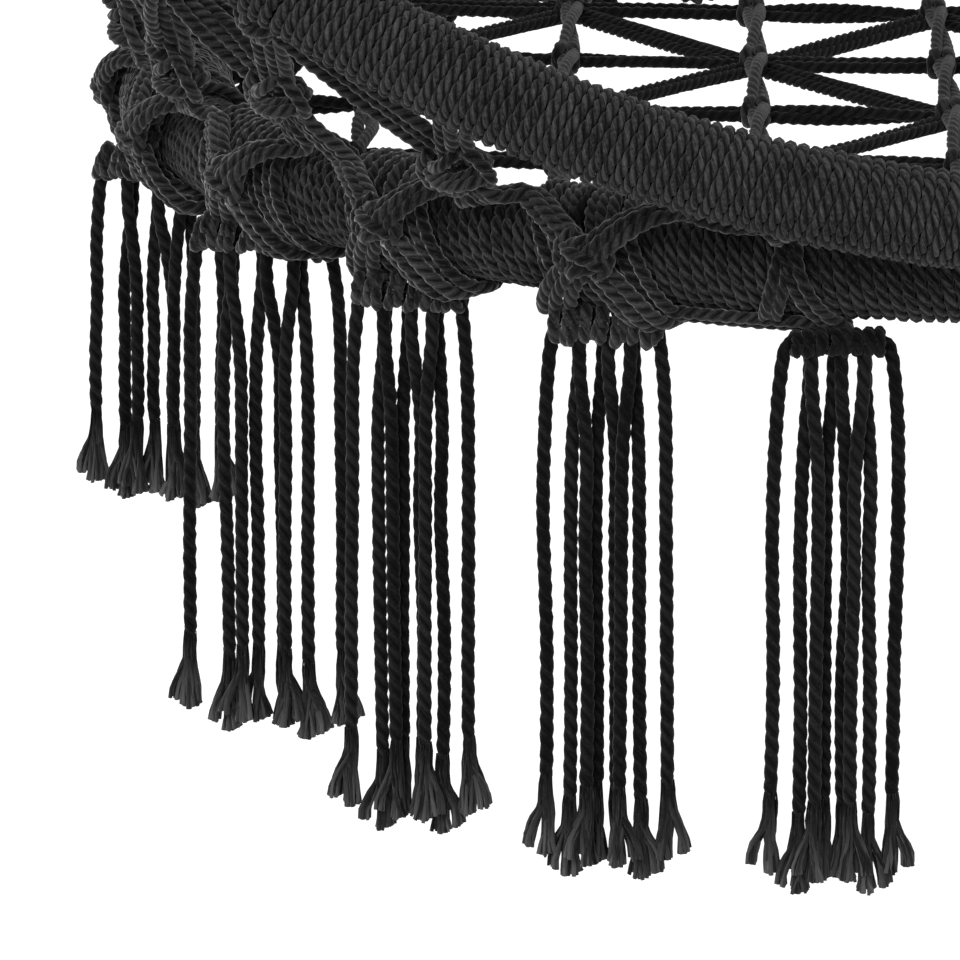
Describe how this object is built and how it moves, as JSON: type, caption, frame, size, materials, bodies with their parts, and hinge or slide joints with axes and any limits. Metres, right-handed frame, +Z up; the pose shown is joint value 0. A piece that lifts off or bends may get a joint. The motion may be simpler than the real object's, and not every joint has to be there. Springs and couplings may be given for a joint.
{
  "type": "hammock chair",
  "caption": "Hanging macrame chair with a knotted seat in a small hoop, a net back to a larger leaning hoop, ropes to a steel ring and a tassel fringe.",
  "frame": {"origin": "the top of the steel ring's bore, where a ceiling hook or carabiner carries it", "axes": "+Z up; -Y the chair's front, where the two hoops are lashed together; X along the lashing"},
  "size_m": [0.7934, 0.6628, 1.3615],
  "materials": {
    "ring_steel": "brushed",
    "hoop_steel": "satin",
    "winding_cotton": "matte",
    "net_cotton": "matte",
    "tassel_cotton": "matte",
    "rope_cotton": "matte"
  },
  "bodies": {
    "hanger": {"hanging_ring": "ring_steel"},
    "back_frame": {"head_whipping": "winding_cotton", "rope_front_left": "rope_cotton", "rope_rear_left": "rope_cotton", "rope_rear_right": "rope_cotton", "rope_front_right": "rope_cotton", "rope_whipping_front_left": "winding_cotton", "rope_whipping_rear_left": "winding_cotton", "rope_whipping_rear_right": "winding_cotton", "rope_whipping_front_right": "winding_cotton", "back_hoop_tube": "hoop_steel", "back_winding_front": "winding_cotton", "back_winding_right": "winding_cotton", "back_winding_rear": "winding_cotton", "back_winding_left": "winding_cotton", "front_lashing": "winding_cotton", "back_net": "net_cotton"},
    "seat": {"seat_hoop_tube": "hoop_steel", "seat_winding_front": "winding_cotton", "seat_winding_right": "winding_cotton", "seat_winding_rear": "winding_cotton", "seat_winding_left": "winding_cotton", "seat_net": "net_cotton", "net_hitch_01": "net_cotton", "net_hitch_02": "net_cotton", "net_hitch_03": "net_cotton", "net_hitch_04": "net_cotton", "net_hitch_05": "net_cotton", "net_hitch_06": "net_cotton", "net_hitch_07": "net_cotton", "net_hitch_08": "net_cotton", "net_hitch_09": "net_cotton", "net_hitch_10": "net_cotton", "net_hitch_11": "net_cotton", "net_hitch_12": "net_cotton", "net_hitch_13": "net_cotton", "net_hitch_14": "net_cotton", "tassel_01": "tassel_cotton", "tassel_02": "tassel_cotton", "tassel_03": "tassel_cotton", "tassel_04": "tassel_cotton", "tassel_05": "tassel_cotton", "tassel_06": "tassel_cotton", "tassel_07": "tassel_cotton", "tassel_08": "tassel_cotton", "tassel_09": "tassel_cotton", "tassel_10": "tassel_cotton", "tassel_11": "tassel_cotton", "tassel_12": "tassel_cotton"}
  },
  "joints": [
    {"name": "swing", "type": "hinge", "parent": "hanger", "child": "back_frame", "pos_m": [0, 0, -0.064], "axis": [1, 0, 0], "range_deg": [-30, 30]},
    {"name": "seat_fold", "type": "hinge", "parent": "back_frame", "child": "seat", "pos_m": [0, -0.29057, -1.15], "axis": [1, 0, 0], "range_deg": [0, 24], "deforming": ["back_net"]}
  ]
}
